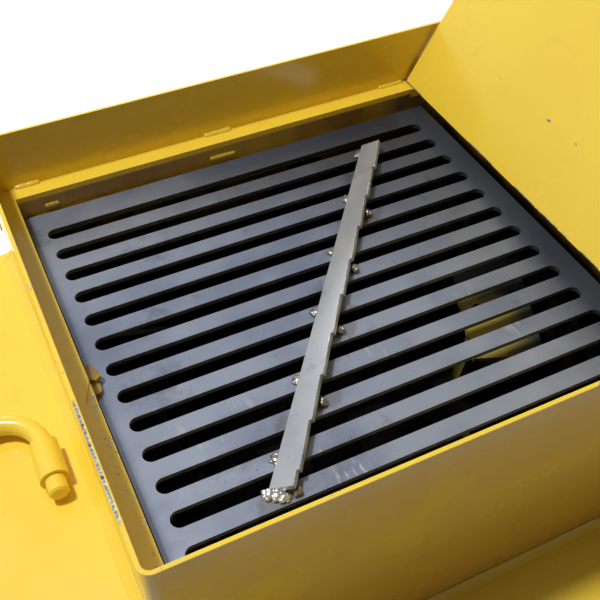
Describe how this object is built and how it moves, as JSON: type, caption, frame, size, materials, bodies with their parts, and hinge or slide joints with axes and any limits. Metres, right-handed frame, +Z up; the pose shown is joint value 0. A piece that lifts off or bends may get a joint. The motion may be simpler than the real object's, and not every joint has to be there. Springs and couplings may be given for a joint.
{
  "type": "charging hopper of a skid mixer",
  "caption": "Yellow skid-mounted paddle mixer: U-shaped tank under a slotted bag-splitter grate with a toothed blade, splash walls, hinged lid, side deck with swing lever and front shelf.",
  "frame": {"origin": "on the floor, midway between the four anchor holes of the skid", "axes": "+Z up, +X from the drive housing towards the lid and discharge side, +Y from the front shelf towards the back wall"},
  "size_m": [1.2131, 0.775, 1.3616],
  "materials": {
    "yellow_paint": "thick glossy yellow enamel over steel, chipped at edges",
    "grate_steel": "bare blue-grey steel, scratched, tinted brown at welds",
    "bare_steel": "ground bar",
    "zinc_plated": "zinc plated fasteners",
    "cast_iron": "dark grey casting",
    "gearbox_paint": "satin blue-grey paint on a casting",
    "motor_paint": "satin grey paint",
    "seal_rubber": "black rubber"
  },
  "bodies": {
    "frame": {"access_cover": "yellow_paint", "access_cover_screws": "zinc_plated", "bag_splitter_blade": "grate_steel", "bearing_bolts": "zinc_plated", "discharge_chute": "yellow_paint", "drive_motor": "motor_paint", "end_plate_left": "yellow_paint", "end_plate_right": "yellow_paint", "front_shelf": "yellow_paint", "gate_guides": "yellow_paint", "gate_stop": "yellow_paint", "gearbox": "gearbox_paint", "gearbox_pedestal": "yellow_paint", "grate_plate": "grate_steel", "grate_support_back": "yellow_paint", "grate_support_front": "yellow_paint", "hold_down_block": "yellow_paint", "hold_down_bolt": "yellow_paint", "hold_down_lug": "yellow_paint", "housing_panel_back": "yellow_paint", "housing_panel_front": "yellow_paint", "housing_panel_left": "yellow_paint", "left_seat_strip": "yellow_paint", "lever_sleeve": "yellow_paint", "lid_pivot_nuts": "zinc_plated", "lid_pivot_rod": "bare_steel", "lid_rest_bar": "yellow_paint", "right_ledge": "yellow_paint", "shaft_bearings": "cast_iron", "shaft_seals": "seal_rubber", "shelf_gussets": "yellow_paint", "skid_cross_members": "yellow_paint", "skid_end_caps": "yellow_paint", "skid_foot_plates": "yellow_paint", "skid_runner_back": "yellow_paint", "skid_runner_front": "yellow_paint", "splash_guard_back": "yellow_paint", "splash_guard_front_left": "yellow_paint", "top_deck": "yellow_paint", "trough_shell": "yellow_paint"},
    "lid": {"lid_panel": "yellow_paint", "lid_hinge_pipe": "yellow_paint", "lid_stiffeners": "yellow_paint", "lid_handle": "yellow_paint"},
    "lever": {"swing_lever": "yellow_paint"},
    "agitator": {"mixer_shaft": "bare_steel", "arm_hubs": "yellow_paint", "drive_coupling": "cast_iron", "gearbox_output_shaft": "bare_steel", "paddle_bolt_heads": "zinc_plated", "paddle_arm_1": "yellow_paint", "paddle_arm_2": "yellow_paint", "paddle_arm_3": "yellow_paint", "paddle_arm_4": "yellow_paint", "paddle_blade_1": "yellow_paint", "paddle_blade_2": "yellow_paint", "paddle_blade_3": "yellow_paint", "paddle_blade_4": "yellow_paint"},
    "gate": {"gate_plate": "yellow_paint", "gate_handle": "yellow_paint"}
  },
  "joints": [
    {"name": "lid_hinge", "type": "hinge", "parent": "frame", "child": "lid", "pos_m": [0.42468, 0, 0.82718], "axis": [0, 1, 0], "range_deg": [-120, 0]},
    {"name": "lever_pivot", "type": "hinge", "parent": "frame", "child": "lever", "pos_m": [-0.2295, -0.1215, 0.8236], "axis": [0, 1, 0], "range_deg": [0, 100]},
    {"name": "agitator_spin", "type": "hinge", "parent": "frame", "child": "agitator", "pos_m": [0.13, 0, 0.45], "axis": [1, 0, 0], "continuous": true},
    {"name": "gate_slide", "type": "slide", "parent": "frame", "child": "gate", "axis": [0, 0, 1], "range_m": [0, 0.095]}
  ]
}
